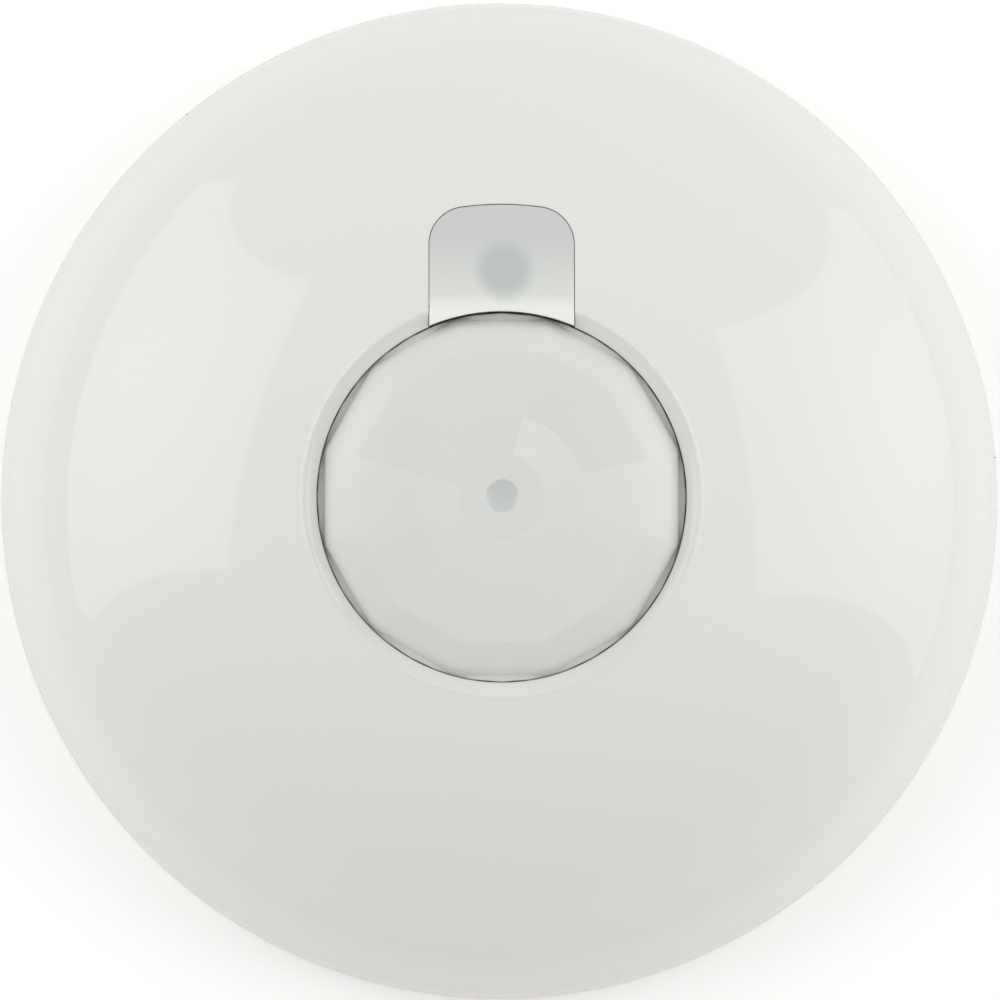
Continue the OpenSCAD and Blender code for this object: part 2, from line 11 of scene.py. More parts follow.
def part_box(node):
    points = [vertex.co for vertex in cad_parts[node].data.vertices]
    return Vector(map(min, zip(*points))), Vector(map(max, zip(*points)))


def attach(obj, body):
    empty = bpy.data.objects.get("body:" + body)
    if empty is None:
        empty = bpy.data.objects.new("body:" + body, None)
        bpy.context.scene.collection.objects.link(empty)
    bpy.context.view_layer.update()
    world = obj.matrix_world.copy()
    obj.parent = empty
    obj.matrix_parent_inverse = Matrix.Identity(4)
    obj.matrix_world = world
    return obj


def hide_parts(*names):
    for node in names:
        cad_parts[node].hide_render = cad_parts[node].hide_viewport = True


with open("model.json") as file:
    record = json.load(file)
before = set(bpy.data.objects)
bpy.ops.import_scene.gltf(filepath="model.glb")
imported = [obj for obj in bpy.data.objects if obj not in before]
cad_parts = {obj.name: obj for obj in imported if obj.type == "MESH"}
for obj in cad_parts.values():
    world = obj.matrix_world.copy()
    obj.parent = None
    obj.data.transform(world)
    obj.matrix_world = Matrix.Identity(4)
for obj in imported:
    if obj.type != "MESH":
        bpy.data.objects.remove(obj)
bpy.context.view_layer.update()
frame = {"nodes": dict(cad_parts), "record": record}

MM = 0.001

# ---------------------------------------------------------------- driving sizes, in mm
BODY_R = (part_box("front_cover")[1].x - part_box("front_cover")[0].x) / 2 / MM
DOME_Z, DOME_H, WALL = 3.2, 26.4, 2.0
PLATE_T, EDGE_BEVEL = 2.5, 0.3
OPENING_R, CREST_R, CREST_DROP = 21.2, 22.85, 0.95
BEAD_H, BEAD_W = 0.07, 0.2
COLLAR_T, COLLAR_Z = 1.2, 21.6
LIP_ROUND, CUT_ROUND, CREST_BLEND = 0.25, 0.1, 0.22
WINDOW_W, WINDOW_END, WINDOW_CORNER, WINDOW_GAP = 8.3, 33.6, 4.3, 0.07
WINDOW_T, LEDGE_W, LEDGE_R, LEDGE_LOW = 1.6, 1.0, 23.6, 2.8
PRY_ANGLES, PRY_W, PRY_DEPTH, PRY_TOP = (7, 127, 244), 4.0, 0.2, 3.4
LUG_ANGLES, LUG_SIZE, LUG_R, LUG_Z = (64, 184, 304), (4.7, 7.0, 5.1), 53.95, 5.45
POST_AT, POST_R, POST_Z = (26, -24.2), 2.0, (15.05, 22.6)
LENS_SIDES, LENS_TOP = 12, 33.8
FLANGE_R = 22.4
DISC_R, DIMPLE_R, DIMPLE_DEPTH = 4.8, 1.95, 0.42
BOARD_Z = 7.1
LED = Vector((0.3, 26.0))

# ---------------------------------------------------------------- camera and light levels
CAMERA_DISTANCE = 3.0
FRAME_WIDTH = 115.42 * MM
TILT_X, TILT_Y = math.radians(0.62), math.radians(1.05)
AIM = Vector((0.06, 0.12, DOME_Z)) * MM
LIGHT_DISTANCE = 0.8
LEFT_POWER, RIGHT_POWER = 2.7, 4.3
SKY_TOP, SKY_LOW = 0.78, 0.5
FLOOR_GLOW = 0.15


def make_camera():
    data = bpy.data.cameras.new("camera")
    camera = bpy.data.objects.new("camera", data)
    bpy.context.scene.collection.objects.link(camera)
    back = Vector((-math.sin(TILT_X), -math.sin(TILT_Y), 1)).normalized()
    data.sensor_width = 36
    data.lens = data.sensor_width * CAMERA_DISTANCE / FRAME_WIDTH
    camera.location = AIM + back * CAMERA_DISTANCE
    right = Vector((0, 1, 0)).cross(back).normalized()
    up = back.cross(right)
    camera.rotation_euler = Matrix((right, up, back)).transposed().to_euler()
    data.clip_start, data.clip_end = 0.05, 50
    bpy.context.scene.camera = camera


# ---------------------------------------------------------------- node graphs
class Graph:
    """A node tree under construction. node() adds one node and wires its inputs."""

    def __init__(self, tree):
        self.tree = tree
        tree.nodes.clear()

    def node(self, kind, inputs=None, out=0, **settings):
        made = self.tree.nodes.new(kind)
        for key, value in settings.items():
            setattr(made, key, value)
        for key, value in (inputs or {}).items():
            self.feed(made.inputs[key], value)
        return made.outputs[out] if len(made.outputs) else made

    def feed(self, socket, value):
        if isinstance(value, bpy.types.NodeSocket):
            self.tree.links.new(value, socket)
        else:
            socket.default_value = value

    def math(self, operation, a, b=0.0):
        return self.node("ShaderNodeMath", {0: a, 1: b}, operation=operation)

    def length(self, a, b):
        return self.math("SQRT", self.math("ADD", self.math("MULTIPLY", a, a), self.math("MULTIPLY", b, b)))

    def mix(self, factor, a, b):
        made = self.tree.nodes.new("ShaderNodeMix")
        made.data_type = "RGBA"
        self.feed(made.inputs[0], factor)
        self.feed(made.inputs[6], a)
        self.feed(made.inputs[7], b)
        return made.outputs[2]

    def place(self, stretch=None):
        spot = self.node("ShaderNodeTexCoord", out="Object")
        if stretch:
            spot = self.node("ShaderNodeMapping", {"Vector": spot, "Scale": stretch})
        return spot

    def split(self, vector):
        made = self.tree.nodes.new("ShaderNodeSeparateXYZ")
        self.tree.links.new(vector, made.inputs[0])
        return made.outputs["X"], made.outputs["Y"], made.outputs["Z"]

    def ramp(self, value, low, high):
        return self.node("ShaderNodeMapRange", {0: value, 1: low, 2: high}, interpolation_type="SMOOTHSTEP")

    def noise(self, scale, detail=2.0, stretch=None):
        feeds = {"Vector": self.place(stretch), "Scale": scale, "Detail": detail}
        return self.node("ShaderNodeTexNoise", feeds)


def rgb(r, g, b):
    return (r, g, b, 1.0)


def finish_material(g, base, rough, bump=None, depth=0.0, edge=0.0, **sockets):
    """Adds the Principled shader. depth is the bump's height and edge the softened edges' radius, in mm."""
    inputs = {"Base Color": base, "Roughness": rough}
    normal = g.node("ShaderNodeBevel", {"Radius": edge * MM}, samples=4) if edge else None
    if bump is not None:
        inputs["Normal"] = g.node("ShaderNodeBump", {"Height": bump, "Distance": depth * MM, "Strength": 1.0})
        if normal:
            g.feed(inputs["Normal"].node.inputs["Normal"], normal)
    elif normal:
        inputs["Normal"] = normal
    inputs.update({k.replace("_", " "): v for k, v in sockets.items()})
    g.node("ShaderNodeOutputMaterial", {"Surface": g.node("ShaderNodeBsdfPrincipled", inputs)})


def new_material(name):
    material = bpy.data.materials.new(name)
    material.use_nodes = True
    return material, Graph(material.node_tree)


# ---------------------------------------------------------------- lights and floor
def make_world():
    """An almost even pale sky, with a darker patch low in front that the dome's lower half mirrors."""
    world = bpy.data.worlds.new("studio")
    bpy.context.scene.world = world
    world.use_nodes = True
    g = Graph(world.node_tree)
    _, across, height = g.split(g.node("ShaderNodeTexCoord", out="Generated"))
    dark = g.math("MULTIPLY", g.ramp(across, -0.2, -0.7), g.ramp(height, 0.2, 0.6))
    low = SKY_LOW / SKY_TOP
    colour = g.mix(dark, rgb(1, 0.995, 0.98), rgb(low, low, 0.97 * low))
    g.node("ShaderNodeOutputWorld", {"Surface": g.node("ShaderNodeBackground", {0: colour, 1: SKY_TOP})})


def make_softbox(name, azimuth, zenith, size, shift, power, bites):
    """Rectangular light aimed at the sensor and brightest in its middle. Its ends are cut by round bites.

    size, shift and the bites (x, y, radius) are in metres in the light's plane, x towards the floor.
    """
    data = bpy.data.lights.new(name, "AREA")
    data.shape = "RECTANGLE"
    data.size, data.size_y = size
    data.energy = power
    light = bpy.data.objects.new(name, data)
    bpy.context.scene.collection.objects.link(light)
    a, z = math.radians(azimuth), math.radians(zenith)
    back = Vector((math.cos(a) * math.sin(z), math.sin(a) * math.sin(z), math.cos(z)))
    up = Vector((-math.sin(a), math.cos(a), 0))
    out = up.cross(back)
    light.location = back * LIGHT_DISTANCE + out * shift[0] + up * shift[1] + Vector((0, 0, 0.02))
    light.rotation_euler = Matrix((out, up, back)).transposed().to_euler()
    data.use_nodes = True
    g = Graph(data.node_tree)
    u, v, _ = g.split(g.node("ShaderNodeNewGeometry", out="Parametric"))
    x = g.math("ADD", g.math("MULTIPLY", g.math("SUBTRACT", u, 0.5), size[0]), shift[0])
    y = g.math("ADD", g.math("MULTIPLY", g.math("SUBTRACT", v, 0.5), size[1]), shift[1])
    keep = 1.0
    for bite_x, bite_y, radius in bites:
        far = g.length(g.math("SUBTRACT", x, bite_x), g.math("SUBTRACT", y, bite_y))
        keep = g.math("MULTIPLY", g.ramp(far, radius, radius + 0.015), keep)
    middle = g.length(g.math("SUBTRACT", x, shift[0]), y)
    glow = g.math("ADD", g.math("MULTIPLY", g.ramp(middle, 0.5, 0.0), 0.55), 0.6)
    strength = g.math("MULTIPLY", keep, glow)
    shade = g.node("ShaderNodeEmission", {"Color": rgb(1, 1, 0.99), "Strength": strength})
    g.node("ShaderNodeOutputLight", {"Surface": shade})


def make_stage():
    make_world()
    make_softbox("softbox_left", 164, 54, (0.67, 1.02), (0.02, -0.02), LEFT_POWER,
                 [(-0.236, -0.796, 0.474), (-0.472, 1.425, 1.168)])
    make_softbox("softbox_right", 9, 60, (0.97, 1.12), (0.06, 0.0), RIGHT_POWER,
                 [(-0.355, 1.205, 0.919), (-0.425, -1.59, 1.332)])
    bpy.ops.mesh.primitive_plane_add(size=8, location=(0, 0, -0.0002))
    floor = bpy.context.object
    floor.name = "floor"
    material, g = new_material("floor")
    x, y, _ = g.split(g.place())
    away = g.ramp(g.math("ADD", g.length(x, y), g.math("MULTIPLY", g.noise(3.0), 0.02)), 0.09, 0.5)
    tone = g.mix(away, rgb(0.95, 0.95, 0.95), rgb(0.72, 0.72, 0.715))
    glow = g.mix(away, rgb(1, 1, 1), rgb(0.2, 0.2, 0.2))
    finish_material(g, tone, 0.6, Specular_IOR_Level=0.2, Emission_Color=glow, Emission_Strength=FLOOR_GLOW)
    floor.data.materials.append(material)
    bpy.context.scene.view_settings.view_transform = "Standard"


# ---------------------------------------------------------------- mesh helpers
def place_piece(mesh, name, material, body, replaced=()):
    mesh.shade_smooth()
    mesh.materials.append(material)
    made = bpy.data.objects.new(name, mesh)
    bpy.context.scene.collection.objects.link(made)
    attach(made, body)
    if replaced:
        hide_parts(*replaced)
    return made


class Shell:
    """Points, faces and shading normals of one piece, gathered in mm."""

    def __init__(self):
        self.points = []
        self.faces = []
        self.normals = []
        self.tones = []

    def add(self, points, faces, normals=None):
        start = len(self.points)
        self.points += [Vector(p) for p in points]
        self.faces += [[start + i for i in face] for face in faces]
        self.normals += list(normals or [])

    def build(self, name, material, body, slot, replaced=()):
        mesh = bpy.data.meshes.new(name)
        mesh.from_pydata([p * MM for p in self.points], [], self.faces)
        if self.tones:
            mesh.attributes.new("tone", "FLOAT", "FACE").data.foreach_set("value", self.tones)
        made = place_piece(mesh, name, material, body, replaced)
        if self.normals:
            mesh.normals_split_custom_set_from_vertices([Vector(n).normalized() for n in self.normals])
        else:
            made.modifiers.new("normals", "WEIGHTED_NORMAL").keep_sharp = True
        return made


def skin(loops, flip=False, closed=True):
    """Quads between successive loops that all have the same number of points."""
    faces = []
    count = len(loops[0])
    steps = count if closed else count - 1
    for j in range(len(loops) - 1):
        for i in range(steps):
            k = (i + 1) % count
            quad = [j * count + i, j * count + k, (j + 1) * count + k, (j + 1) * count + i]
            faces.append(quad[::-1] if flip else quad)
    return faces


def flat_list(loops):
    return [p for loop in loops for p in loop]


def dome(r, inset=0.0):
    return DOME_Z + (DOME_H - inset) * math.sqrt(max(0.0, 1 - (r / (BODY_R - inset)) ** 2))


def dome_normal(p, inset=0.0):
    big, tall = BODY_R - inset, DOME_H - inset
    return Vector((p[0] / big ** 2, p[1] / big ** 2, (p[2] - DOME_Z) / tall ** 2)).normalized()


def rounding(d, radius):
    """How far a rounded edge of that radius lies below the face at distance d from the edge."""
    if d >= radius:
        return 0.0
    return radius - math.sqrt(radius ** 2 - (radius - max(d, 0.0)) ** 2)


def smooth_min(a, b, width):
    h = max(width - abs(a - b), 0.0) / width
    return min(a, b) - h * h * width / 4


def smooth(t):
    t = min(max(t, 0.0), 1.0)
    return t * t * (3 - 2 * t)


def gradient_normal(height, x, y):
    e = 0.004
    dx = (height(x + e, y) - height(x - e, y)) / (2 * e)
    dy = (height(x, y + e) - height(x, y - e)) / (2 * e)
    return Vector((-dx, -dy, 1)).normalized()


def ribbon(shell, line, width, low, lift, closed=False):
    """Raised strip along a line of (x, y) points with mitred corners."""
    line = [Vector(p) for p in line]
    count = len(line)
    loops = []
    for i, p in enumerate(line):
        before = line[i - 1] if closed or i else p - (line[1] - p)
        after = line[(i + 1) % count] if closed or i < count - 1 else p + (p - line[i - 1])
        a, b = (p - before).normalized(), (after - p).normalized()
        side = Vector((-a.y - b.y, a.x + b.x)).normalized()
        side *= width / 2 / max(0.3, side.dot(Vector((-a.y, a.x))))
        q, s = p + side, p - side
        loops.append([(q.x, q.y, low), (q.x, q.y, low + lift), (s.x, s.y, low + lift), (s.x, s.y, low)])
    if closed:
        loops.append(loops[0])
    faces = skin(loops)
    if not closed:
        end = 4 * (count - 1)
        faces += [[3, 2, 1, 0], [end, end + 1, end + 2, end + 3]]
    shell.add(flat_list(loops), faces)


def ring(x, y, r, n=28):
    return [(x + r * math.cos(2 * math.pi * i / n), y + r * math.sin(2 * math.pi * i / n)) for i in range(n)]


def frame_line(x, y, w, h):
    return [(x - w / 2, y - h / 2), (x + w / 2, y - h / 2), (x + w / 2, y + h / 2), (x - w / 2, y + h / 2)]


def turned(shell, profile, centre, along_x=False, n=32):
    """Closed solid of revolution from (distance along the axis, radius) pairs."""
    loops = []
    for h, r in profile:
        loop = []
        for i in range(n):
            c, s = r * math.cos(2 * math.pi * i / n), r * math.sin(2 * math.pi * i / n)
            local = Vector((h, c, s)) if along_x else Vector((c, s, h))
            loop.append(Vector(centre) + local)
        loops.append(loop)
    end = n * (len(loops) - 1)
    faces = skin(loops) + [list(range(n))[::-1], list(range(end, end + n))]
    shell.add(flat_list(loops), faces)


def rounded_boxes(name, boxes, edge, material, body, segments=2):
    """One piece made of boxes (size, centre, turn in degrees) with rounded edges."""
    bm = bmesh.new()
    for size, centre, turn in boxes:
        spin = Matrix.Rotation(math.radians(turn), 3, "Z").to_quaternion()
        place = Matrix.LocRotScale(Vector(centre) * MM, spin, Vector(size) * MM)
        bmesh.ops.create_cube(bm, size=1.0, matrix=place)
    bmesh.ops.bevel(bm, geom=bm.edges[:], offset=edge * MM, segments=segments, profile=0.5, affect="EDGES")
    mesh = bpy.data.meshes.new(name)
    bm.to_mesh(mesh)
    bm.free()
    made = place_piece(mesh, name, material, body)
    made.modifiers.new("normals", "WEIGHTED_NORMAL")
    return made


# ---------------------------------------------------------------- front cover
class Keyhole:
    """Outline of the lens opening joined to the window's cut-out, and its outward offsets."""

    def __init__(self, extra):
        self.w = WINDOW_W + extra
        self.end = WINDOW_END + extra
        self.c = WINDOW_CORNER + extra
        self.cx = self.w - self.c
        self.cy = math.sqrt((self.end - self.c) ** 2 - self.cx ** 2)
        self.lean = math.atan2(self.cx, self.cy)

    def tab_distance(self, x, y):
        """Distance outside the window's cut-out, negative inside it."""
        x = abs(x)
        if y <= self.cy:
            return x - self.w
        px, py = x - self.cx, y - self.cy
        if math.atan2(px, py) >= self.lean:
            return math.hypot(px, py) - self.c
        return math.hypot(x, y) - self.end

    def half(self, d, arc_n=150, side_n=30, corner_n=16, end_n=12):
        """Points (x, y, whether on the round opening) of the right half, from the bottom up, offset by d."""
        r, w = OPENING_R + d, self.w + d
        top = math.acos(w / r)
        points = []
        for i in range(arc_n):
            a = -math.pi / 2 + (top + math.pi / 2) * i / arc_n
            points.append((r * math.cos(a), r * math.sin(a), True))
        low = math.sqrt(r * r - w * w)
        for i in range(side_n):
            points.append((w, low + (self.cy - low) * i / side_n, False))
        for i in range(corner_n):
            a = (math.pi / 2 - self.lean) * i / corner_n
            points.append((self.cx + (self.c + d) * math.cos(a), self.cy + (self.c + d) * math.sin(a), False))
        for i in range(end_n + 1):
            a = math.pi / 2 - self.lean + self.lean * i / end_n
            points.append(((self.end + d) * math.cos(a), (self.end + d) * math.sin(a), False))
        return points

    def loop(self, d):
        right = self.half(d)
        return right + [(-x, y, on_round) for x, y, on_round in reversed(right[1:-1])]


def cover_height(x, y, hole):
    """Height of the cover's outer face, with its crest, bead, lip and cut-out edge."""
    r = math.hypot(x, y)
    z = dome(r)
    if r < CREST_R + 0.6:
        slope = CREST_DROP / (CREST_R - OPENING_R)
        z = smooth_min(z, dome(CREST_R) - slope * (CREST_R - r), CREST_BLEND)
        z -= rounding(r - OPENING_R, LIP_ROUND)
    z += BEAD_H * math.exp(-((r - CREST_R) / BEAD_W) ** 2)
    if y > 0:
        z -= rounding(hole.tab_distance(x, y), CUT_ROUND)
    return z


def pry_snaps(angles):
    """Which rim points move, and to what angle, so that the pry notches have sharp ends."""
    half = math.asin(PRY_W / 2 / BODY_R)
    moves = {}
    for centre in PRY_ANGLES:
        for side in (-1, 1):
            for nudge in (-0.001, 0.001):
                wanted = math.radians(centre) + side * (half + nudge)
                free = [i for i in range(len(angles)) if i not in moves]
                near = min(free, key=lambda i: abs(math.remainder(angles[i] - wanted, 2 * math.pi)))
                moves[near] = angles[near] + math.remainder(wanted - angles[near], 2 * math.pi)
    return moves


def pry_radius(a, r):
    for centre in PRY_ANGLES:
        d = abs(math.remainder(a - math.radians(centre), 2 * math.pi))
        if d < math.asin(PRY_W / 2 / BODY_R):
            return min(r, (BODY_R - PRY_DEPTH) / math.cos(d))
    return r


BANDS = (0.012, 0.035, 0.07, 0.12, 0.18, 0.25, 0.33, 0.45, 0.6, 0.8, 1.0, 1.2, 1.4, 1.55, 1.66, 1.74, 1.8,
         1.86, 1.94, 2.05, 2.2, 2.4)
OUTER_STEPS, INNER_STEPS = 48, 28


def make_cover(material):
    hole = Keyhole(WINDOW_GAP)
    inner_r = BODY_R - WALL

    def height(x, y):
        return cover_height(x, y, hole)

    loops, normals = [], []

    def add(loop, norm):
        loops.append(loop)
        normals.append(norm)

    def around(angles, r, z, norm):
        add([(r * math.cos(a), r * math.sin(a), z) for a in angles], norm)

    rim = hole.loop(0)
    count = len(rim)
    inward = []
    for i in range(count):
        along = (Vector(rim[(i + 1) % count][:2]) - Vector(rim[i - 1][:2])).normalized()
        inward.append(Vector((-along.y, along.x, 0)))
    foot = [COLLAR_Z if on_round else dome(math.hypot(x, y), WALL) for x, y, on_round in rim]
    add([(x, y, f) for (x, y, _), f in zip(rim, foot)], inward)
    for sink in (1.2, 0.5):
        add([(x, y, max(height(x, y) - sink, f + 0.1)) for (x, y, _), f in zip(rim, foot)], inward)
    add([(x, y, height(x, y)) for x, y, _ in rim], inward)
    for d in BANDS:
        band = hole.loop(d)
        add([(x, y, height(x, y)) for x, y, _ in band], [gradient_normal(height, x, y) for x, y, _ in band])
    start = [Vector(p[:2]) for p in loops[-1]]
    angles = [math.atan2(p.y, p.x) for p in start]
    moves = pry_snaps(angles)
    edge = [moves.get(i, a) for i, a in enumerate(angles)]
    for j in range(1, OUTER_STEPS + 1):
        line = []
        turn = smooth(2 * j / OUTER_STEPS - 1)
        for p, a, b in zip(start, angles, edge):
            t = math.acos(p.length / BODY_R) * (1 - j / OUTER_STEPS)
            r, a = BODY_R * math.cos(t), a + (b - a) * turn
            line.append((r * math.cos(a), r * math.sin(a), max(dome(r), PRY_TOP + 0.01)))
        add(line, [dome_normal(p) for p in line])
    out = [Vector((math.cos(a), math.sin(a), 0)) for a in edge]
    for z in (PRY_TOP, PLATE_T + EDGE_BEVEL):
        add([(pry_radius(a, BODY_R) * o.x, pry_radius(a, BODY_R) * o.y, z) for a, o in zip(edge, out)], out)
    low = [Vector((o.x, o.y, -1)) for o in out]
    chamfer_r = BODY_R - EDGE_BEVEL
    rim_radii = [pry_radius(a, chamfer_r) for a in edge]
    add([(r * o.x, r * o.y, PLATE_T) for r, o in zip(rim_radii, out)], low)
    around(edge, inner_r, PLATE_T, [Vector((0, 0, -1))] * count)
    around(edge, inner_r, DOME_Z, [-o for o in out])
    inside = []
    for (x, y, on_round), (qx, qy, _) in zip(hole.loop(COLLAR_T), rim):
        inside.append(Vector((x, y)) if on_round else Vector((qx, qy)) * 1.004)
    for j in range(1, INNER_STEPS + 1):
        line = []
        for p, o in zip(inside, out):
            t = math.acos(p.length / inner_r) * j / INNER_STEPS
            heading = (o.to_2d() * (1 - j / INNER_STEPS) + p.normalized() * j / INNER_STEPS).normalized()
            spot = heading * inner_r * math.cos(t)
            line.append((spot.x, spot.y, dome(spot.length, WALL)))
        add(line, [-dome_normal(p, WALL) for p in line])
    collar = [f if on_round else dome(p.length, WALL) - 0.01
              for p, f, (_, _, on_round) in zip(inside, foot, rim)]
    add([(p.x, p.y, z) for p, z in zip(inside, collar)], [Vector((p.x, p.y, 0)) for p in inside])
    end = (len(loops) - 1) * count
    closing = [[i, (i + 1) % count, end + (i + 1) % count, end + i] for i in range(count)]
    shell = Shell()
    shell.add(flat_list(loops), skin(loops, flip=True) + closing, flat_list(normals))
    shell.build("cover_shell", material, "cover", "cover_plastic", ["front_cover"])


def make_cover_fittings(material):
    """Lugs that hold the cover on the base, and the post that rests on the tamper lever."""
    lugs = []
    for turn in LUG_ANGLES:
        a = math.radians(turn)
        lugs.append((LUG_SIZE, (LUG_R * math.cos(a), LUG_R * math.sin(a), LUG_Z), turn))
    rounded_boxes("cover_lugs", lugs, 0.3, material, "cover")
    post = Shell()
    turned(post, [(POST_Z[0], POST_R - 0.3), (POST_Z[0] + 0.3, POST_R), (POST_Z[1], POST_R)], (*POST_AT, 0))
    post.build("cover_post", material, "cover", "cover_plastic")


# ---------------------------------------------------------------- indicator window
def slab(shell, outline, inner_r, top_inset, low_inset, columns, rows, edge_round=0.0):
    """Curved plate between two insets of the dome, inside the outline and outside a radius."""
    def height(x, y):
        inside = min(-outline.tab_distance(x, y), math.hypot(x, y) - inner_r)
        return dome(math.hypot(x, y), top_inset) - (rounding(inside, edge_round) if edge_round else 0.0)

    def underside(x, y):
        return dome(math.hypot(x, y), low_inset)

    def spread(t):
        return 0.5 - 0.5 * math.cos(math.pi * t)

    top, top_normals, low, low_normals = [], [], [], []
    for i in range(columns + 1):
        x = outline.w * (2 * spread(i / columns) - 1)
        y0 = math.sqrt(inner_r ** 2 - x * x)
        y1 = math.sqrt(outline.end ** 2 - x * x)
        if abs(x) > outline.cx:
            y1 = min(y1, outline.cy + math.sqrt(max(0.0, outline.c ** 2 - (abs(x) - outline.cx) ** 2)))
        ys = [y0 + (y1 - y0) * spread(j / rows) for j in range(rows + 1)]
        top.append([(x, y, height(x, y)) for y in ys])
        top_normals += [gradient_normal(height, x, y) for y in ys]
        low.append([(x, y, underside(x, y)) for y in ys])
        low_normals += [-gradient_normal(underside, x, y) for y in ys]
    half = (columns + 1) * (rows + 1)
    faces = skin(top, flip=True, closed=False) + [[half + i for i in f] for f in skin(low, closed=False)]
    border = [i * (rows + 1) for i in range(columns + 1)]
    border += [columns * (rows + 1) + j for j in range(1, rows + 1)]
    border += [i * (rows + 1) + rows for i in range(columns - 1, -1, -1)]
    border += list(range(rows - 1, 0, -1))
    for a, b in zip(border, border[1:] + border[:1]):
        faces.append([a, a + half, b + half, b])
    shell.add(flat_list(top) + flat_list(low), faces, top_normals + low_normals)


def make_window(material):
    shell = Shell()
    slab(shell, Keyhole(0.0), OPENING_R + 0.1, 0.0, WINDOW_T, 72, 48, 0.16)
    slab(shell, Keyhole(-0.4), OPENING_R + COLLAR_T + 0.25, WINDOW_T - 0.2, LEDGE_LOW, 30, 20)
    slab(shell, Keyhole(LEDGE_W), LEDGE_R, WALL + 0.05, LEDGE_LOW, 30, 20)
    shell.build("window_tab", material, "cover", "window_plastic", ["led_window"])


# ---------------------------------------------------------------- lens
# Profile of the lens from inside its centre, round its flange and up to its tip: half width across the flats,
# height, and how polygonal it is
LENS_PROFILE = [(0.3, 32.98, 0), (9.0, 32.4, 1), (16.2, 29.2, 1), (19.4, 25.8, 1), (19.4, 22.6, 1),
                (19.4, 20.3, 1), (21.3, 20.3, 0), (FLANGE_R, 20.4, 0), (FLANGE_R, 21.5, 0), (22.3, 21.6, 0),
                (21.1, 21.65, 0), (21.06, 21.75, 0), (21.14, 24.95, 0), (21.07, 25.05, 0), (20.4, 25.1, 1),
                (20.32, 25.3, 1), (20.16, 26.1, 1), (19.9, 26.5, 1), (19.4, 27.03, 1), (16.75, 29.84, 1),
                (16.6, 29.99, 1), (16.4, 30.09, 1), (9.4, 33.16, 1), (9.3, 33.2, 1), (9.15, 33.23, 1),
                (DISC_R + 0.05, 33.72, 0), (DISC_R, 33.745, 0), (DISC_R - 0.15, 33.75, 0),
                (DIMPLE_R + 0.12, LENS_TOP, 0), (DIMPLE_R, LENS_TOP - 0.03, 0),
                (DIMPLE_R * 0.92, LENS_TOP - 0.12, 0), (DIMPLE_R * 0.75, LENS_TOP - 0.26, 0),
                (DIMPLE_R * 0.45, LENS_TOP - 0.38, 0), (0.15, LENS_TOP - DIMPLE_DEPTH, 0)]
# Index of the first loop of the outer face, which shades softly
FIRST_OUTER = 15
# How much higher these loops of the profile, the ledge round the lens, lie at the top and bottom, in mm
LEDGE_RISE = {12: 0.9, 13: 0.9, 14: 0.9, 15: 0.85, 16: 0.3}
# Painted shading of each facet from azimuth 0 round, standing in for how differently the facets catch the
# light: -1 darkest, 1 lightest
OUTER_FACET_SHADES = (0.3, -0.8, -0.9, -0.6, -0.5, -0.8, -0.1, -0.2, 0.2, 0.4, 0.3, 0.1)
INNER_FACET_SHADES = (0.2, 0.4, 0.8, -0.6, -0.5, -0.3, 0.3, 0.1, 0.0, 0.2, 0.1, 0.0)
# Slope of the smooth dome that the lens shades like, in degrees, by its radius in mm
LENS_SLOPES = ((0.0, 0.0), (9.3, 6.0), (16.6, 13.0), (19.0, 24.0), (20.0, 40.0), (20.6, 62.0), (21.2, 78.0))
FACET_SHARE = 0.26


def lens_slope(r):
    for (r0, s0), (r1, s1) in zip(LENS_SLOPES, LENS_SLOPES[1:]):
        if r <= r1:
            return math.radians(s0 + (s1 - s0) * (r - r0) / (r1 - r0))
    return math.radians(LENS_SLOPES[-1][1])


def make_lens(material):
    """Faceted dome that shades softly, as milky plastic does, with a middle disc and a dimple."""
    sector = 2 * math.pi / LENS_SIDES
    offsets = (-0.5, -0.494, -0.47, -0.3, 0.0, 0.3, 0.47, 0.494)
    azimuths = [(i + f) * sector for i in range(LENS_SIDES) for f in offsets]
    count = len(azimuths)
    loops = []
    for j, (apothem, z, polygon) in enumerate(LENS_PROFILE):
        loop = []
        for a in azimuths:
            off = math.remainder(a, sector)
            grow = 1 + polygon * (1 / math.cos(off) - 1)
            corner = polygon * 0.12 * max(0.0, 1 - (sector / 2 - abs(off)) / (0.012 * sector))
            r = apothem * grow - corner
            rise = LEDGE_RISE.get(j, 0) * math.sin(a) ** 2
            loop.append(Vector((r * math.cos(a), r * math.sin(a), z + rise)))
        loops.append(loop)
    faces = skin(loops)
    last = count * (len(loops) - 1)
    faces += [list(range(count))[::-1], list(range(last, last + count))]
    normals = []
    for j, loop in enumerate(loops):
        for i, p in enumerate(loop):
            below, above = loops[max(j - 1, 0)][i], loops[min(j + 1, len(loops) - 1)][i]
            flat = (loop[(i + 1) % count] - loop[i - 1]).cross(above - below).normalized()
            if j >= FIRST_OUTER and p.xy.length > DISC_R - 0.1:
                s, o = lens_slope(p.xy.length), p.xy.normalized()
                soft = Vector((o.x * math.sin(s), o.y * math.sin(s), math.cos(s)))
                flat = flat * FACET_SHARE + soft * (1 - FACET_SHARE)
            normals.append(flat)
    shell = Shell()
    shell.add(flat_list(loops), faces, normals)
    # Each outer and inner facet gets its painted shading as its tone
    for face in faces:
        middle = sum((shell.points[i] for i in face), Vector()) / len(face)
        r = middle.xy.length
        part = round(math.atan2(middle.y, middle.x) / sector) % LENS_SIDES
        tone = 0.0
        if middle.z > 29.9 and 9.3 < r < 17.2:
            tone = OUTER_FACET_SHADES[part]
        elif middle.z > 33 and DISC_R < r <= 9.9:
            tone = INNER_FACET_SHADES[part]
        shell.tones.append(tone)
    shell.build("lens_shell", material, "cover", "lens_plastic", ["lens_dome"])
